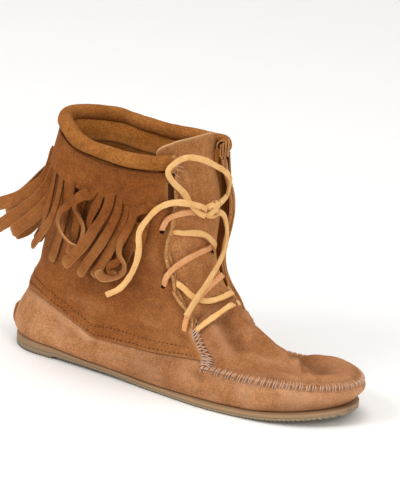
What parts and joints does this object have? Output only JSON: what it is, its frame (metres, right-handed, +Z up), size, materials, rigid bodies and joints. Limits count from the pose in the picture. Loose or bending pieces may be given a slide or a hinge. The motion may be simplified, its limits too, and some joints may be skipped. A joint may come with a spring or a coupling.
{
  "type": "moccasin ankle boot",
  "caption": "Right suede moccasin ankle boot with a fringed, rolled collar, front lacing over a tongue, whip-stitched toe seam and a thin treaded sole.",
  "frame": {"origin": "on the floor under the middle of the heel", "axes": "+X to the toe, +Y to the inner side of the foot, +Z up"},
  "size_m": [0.2888, 0.0948, 0.1589],
  "materials": {
    "outsole": "matt crepe rubber",
    "insole": "matt",
    "upper": "napped suede",
    "tongue": "napped suede",
    "collar_roll": "napped suede",
    "heel_tab": "napped suede",
    "fringe": "napped suede",
    "lace_crossings": "raw cut leather",
    "lace_knot": "raw cut leather",
    "lace_end_side": "raw cut leather",
    "lace_end_front": "raw cut leather",
    "lace_loop_top": "raw cut leather"
  },
  "bodies": {
    "root": {"outsole": "outsole", "insole": "insole", "upper": "upper", "tongue": "tongue", "collar_roll": "collar_roll", "heel_tab": "heel_tab", "fringe": "fringe", "lace_crossings": "lace_crossings", "lace_knot": "lace_knot", "lace_end_side": "lace_end_side", "lace_end_front": "lace_end_front", "lace_loop_top": "lace_loop_top"}
  },
  "joints": []
}
